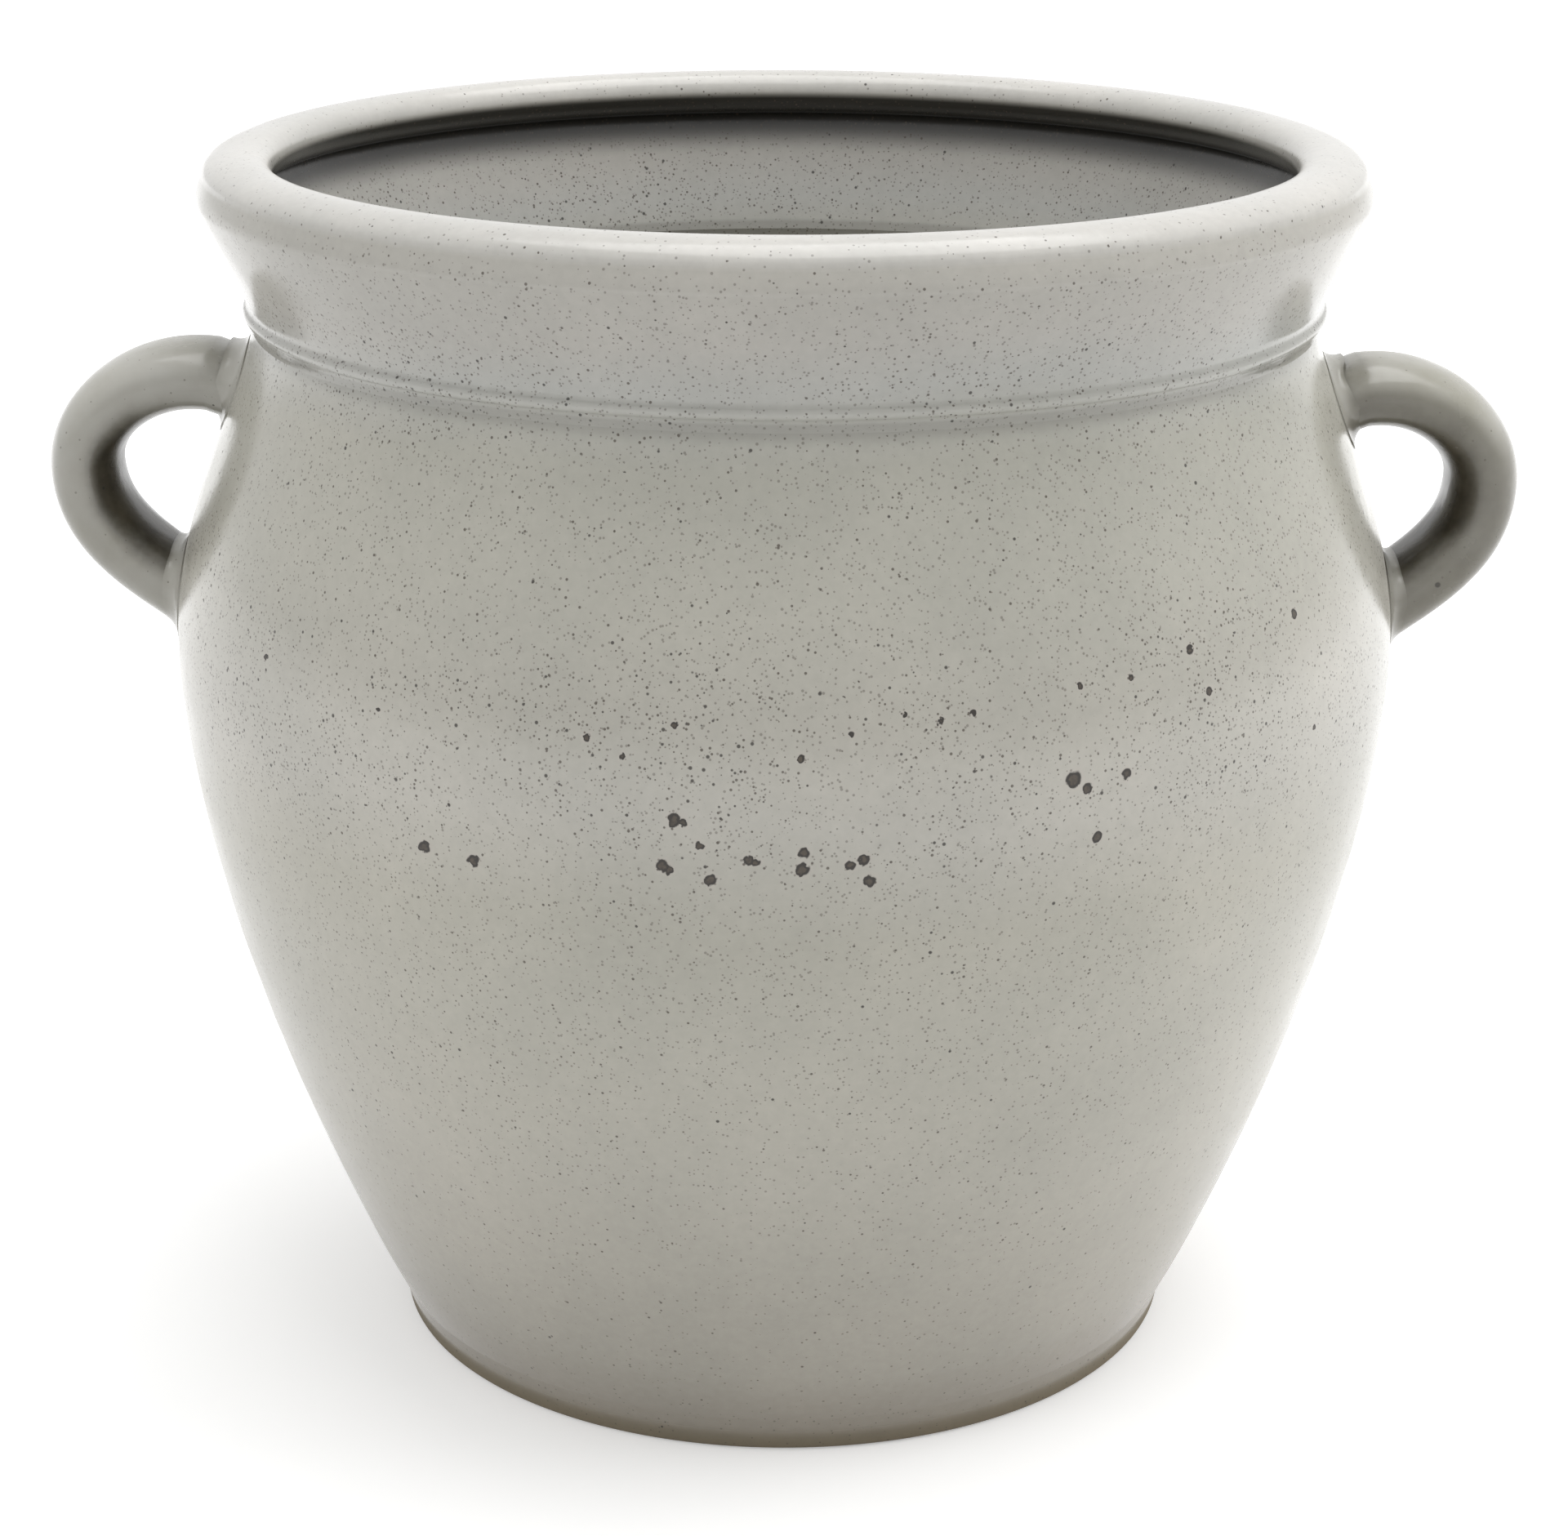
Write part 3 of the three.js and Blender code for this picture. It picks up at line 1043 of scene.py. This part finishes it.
def makeHandleGlaze():
    h = handleGlazeSettings
    material, tree = newMaterial("handleGlaze")
    shader = glossShader(tree)
    coords = addNode(tree, "ShaderNodeTexCoord").outputs
    vector = coords["Object"]
    across = splitVector(tree, vector)["X"]
    facing = splitVector(tree, coords["Normal"])
    tone = colourRamp(tree, noiseValue(tree, vector, *h["toneNoise"]), h["tones"])

    # painted shade where the handles face down, with more of it on the right handle
    hanging = remap(tree, facing["Z"], *h["paintedUnderShadeFacing"])
    leftSide, rightSide = (edge * mm for edge in h["paintedUnderShadeSides"])
    share = remap(tree, across, leftSide, rightSide, *h["paintedUnderShadeShares"])
    paintedUnderShade = colourRamp(tree, noiseValue(tree, vector, *h["paintedUnderShadeNoise"]), h["paintedUnderShades"])
    tone = blendColour(tree, times(tree, hanging, share), tone, paintedUnderShade)

    # it runs thin and brown on the face that looks at the pot, and is darkened there as painted shade between
    # the handle and the wall
    away = times(tree, facing["X"], compute(tree, "SIGN", across))
    mottle = swayingNoise(tree, vector, *h["mottleNoise"])
    thin = remap(tree, timesPlus(tree, mottle, h["mottle"], away), *h["brownAndShadeFacing"])
    brownAndShade = colourRamp(tree, noiseValue(tree, vector, *h["brownAndShadeNoise"]), h["brownAndShades"])
    tone = blendColour(tree, thin, tone, brownAndShade)

    kinds = speckSettings["handle"]
    masks = {label: speckMask(tree, vector, kind, kind["share"]) for label, kind in kinds.items()}
    join(tree, paintSpecks(tree, tone, masks, kinds), shader["Base Color"])
    join(tree, unevenGloss(tree, vector, h), shader["Roughness"])
    lumps = noiseValue(tree, vector, *h["lumpNoise"])
    join(tree, bumpNormal(tree, lumps, h), shader["Normal"])
    return material


bodyGlaze = makeBodyGlaze()
handleGlaze = makeHandleGlaze()
for piece in wallPieces:
    piece.data.materials.append(bodyGlaze)
for piece in handlePieces:
    piece.data.materials.append(handleGlaze)
print("glazes mixed")


def seenDirectly(tree):
    # 1 for camera, mirror and glass rays
    path = addNode(tree, "ShaderNodeLightPath").outputs
    seen = larger(tree, path["Is Camera Ray"], path["Is Glossy Ray"])
    return larger(tree, seen, path["Is Transmission Ray"])


def mixShaders(tree, share, first, second):
    mix = addNode(tree, "ShaderNodeMixShader")
    join(tree, share, mix.inputs["Fac"])
    join(tree, first, mix.inputs[1])
    join(tree, second, mix.inputs[2])
    return mix.outputs[0]


# White paper, in metres; its glow is for the eye only and gets full where the paper fades out
floorSettings = {
    "size": 12.0,
    "colour": (0.86, 0.86, 0.86),
    "glow": 0.36,
    "fade": (0.3, 1.3),
    "drop": 0.0003,
}


def makePaper():
    s = floorSettings
    material, tree = newMaterial("floorPaper")
    paper = addNode(tree, "ShaderNodeBsdfDiffuse")
    paper.inputs["Color"].default_value = (*s["colour"], 1)
    gap = vectorLength(tree, addNode(tree, "ShaderNodeTexCoord").outputs["Object"])
    level = remap(tree, gap, *s["fade"], s["glow"], 1.0)
    glow = addNode(tree, "ShaderNodeEmission")
    join(tree, times(tree, seenDirectly(tree), level), glow.inputs["Strength"])
    both = addNode(tree, "ShaderNodeAddShader")
    join(tree, paper.outputs[0], both.inputs[0])
    join(tree, glow.outputs[0], both.inputs[1])
    # clear from below, so that the foot can be looked at
    below = addNode(tree, "ShaderNodeNewGeometry").outputs["Backfacing"]
    clear = addNode(tree, "ShaderNodeBsdfTransparent").outputs[0]
    out = addNode(tree, "ShaderNodeOutputMaterial")
    join(tree, mixShaders(tree, below, both.outputs[0], clear), out.inputs["Surface"])
    return material


def makeFloor():
    bm = bmesh.new()
    bmesh.ops.create_grid(bm, x_segments=1, y_segments=1, size=floorSettings["size"])
    mesh = bpy.data.meshes.new("floor")
    bm.to_mesh(mesh)
    bm.free()
    floor = bpy.data.objects.new("floor", mesh)
    floor.location.z = -floorSettings["drop"]
    bpy.context.collection.objects.link(floor)
    mesh.materials.append(makePaper())


# The room: how much light it gives, and how bright it looks
worldSettings = {
    "light": 0.55,
    "seen": 1.0,
}


def makeWorld():
    world = bpy.data.worlds.new("softRoom")
    world.use_nodes = True
    tree = world.node_tree
    tree.nodes.clear()
    rooms = []
    for label in ("light", "seen"):
        room = addNode(tree, "ShaderNodeBackground")
        room.inputs["Color"].default_value = (1, 1, 1, 1)
        room.inputs["Strength"].default_value = worldSettings[label]
        rooms.append(room.outputs[0])
    out = addNode(tree, "ShaderNodeOutputWorld")
    join(tree, mixShaders(tree, seenDirectly(tree), *rooms), out.inputs["Surface"])
    bpy.context.scene.world = world


# Lamps, in metres and watts; a mirrored one shows in the glaze
lampSettings = {
    "topLight": {"place": (0.15, 0.1, 1.5), "size": 1.3, "energy": 13.0, "mirrored": True},
    "rightLight": {"place": (1.55, 0.0, 0.85), "size": 1.2, "energy": 10.0, "mirrored": False},
    "leftLight": {"place": (-1.3, -0.9, 0.9), "size": 1.0, "energy": 5.0, "mirrored": False},
}


def makeLamp(name, settings):
    lamp = bpy.data.lights.new(name, "AREA")
    lamp.size = settings["size"]
    lamp.energy = settings["energy"]
    holder = bpy.data.objects.new(name, lamp)
    bpy.context.collection.objects.link(holder)
    holder.location = settings["place"]
    holder.visible_glossy = settings["mirrored"]
    aim = Vector((0, 0, heights["belly"])) - holder.location
    holder.rotation_euler = aim.to_track_quat("-Z", "Y").to_euler()


# Camera: place in metres, pitch and roll in degrees, lens and sensor in millimetres
cameraSettings = {
    "place": (0.0, -0.8085, 0.4068),
    "pitch": 18.66,
    "roll": 0.12,
    "lens": 80.34,
    "sensor": 36.0,
}


def makeCamera():
    s = cameraSettings
    lens = bpy.data.cameras.new("camera")
    lens.lens = s["lens"]
    lens.sensor_width = s["sensor"]
    camera = bpy.data.objects.new("camera", lens)
    bpy.context.collection.objects.link(camera)
    camera.location = s["place"]
    tilt = Matrix.Rotation(math.radians(90 - s["pitch"]), 4, "X")
    roll = Matrix.Rotation(math.radians(s["roll"]), 4, "Z")
    camera.rotation_euler = (tilt @ roll).to_euler()
    bpy.context.scene.camera = camera


makeFloor()
makeWorld()
for lampName, settings in lampSettings.items():
    makeLamp(lampName, settings)
makeCamera()
bpy.context.scene.view_settings.view_transform = "Standard"
print("stage, lamps and camera set")
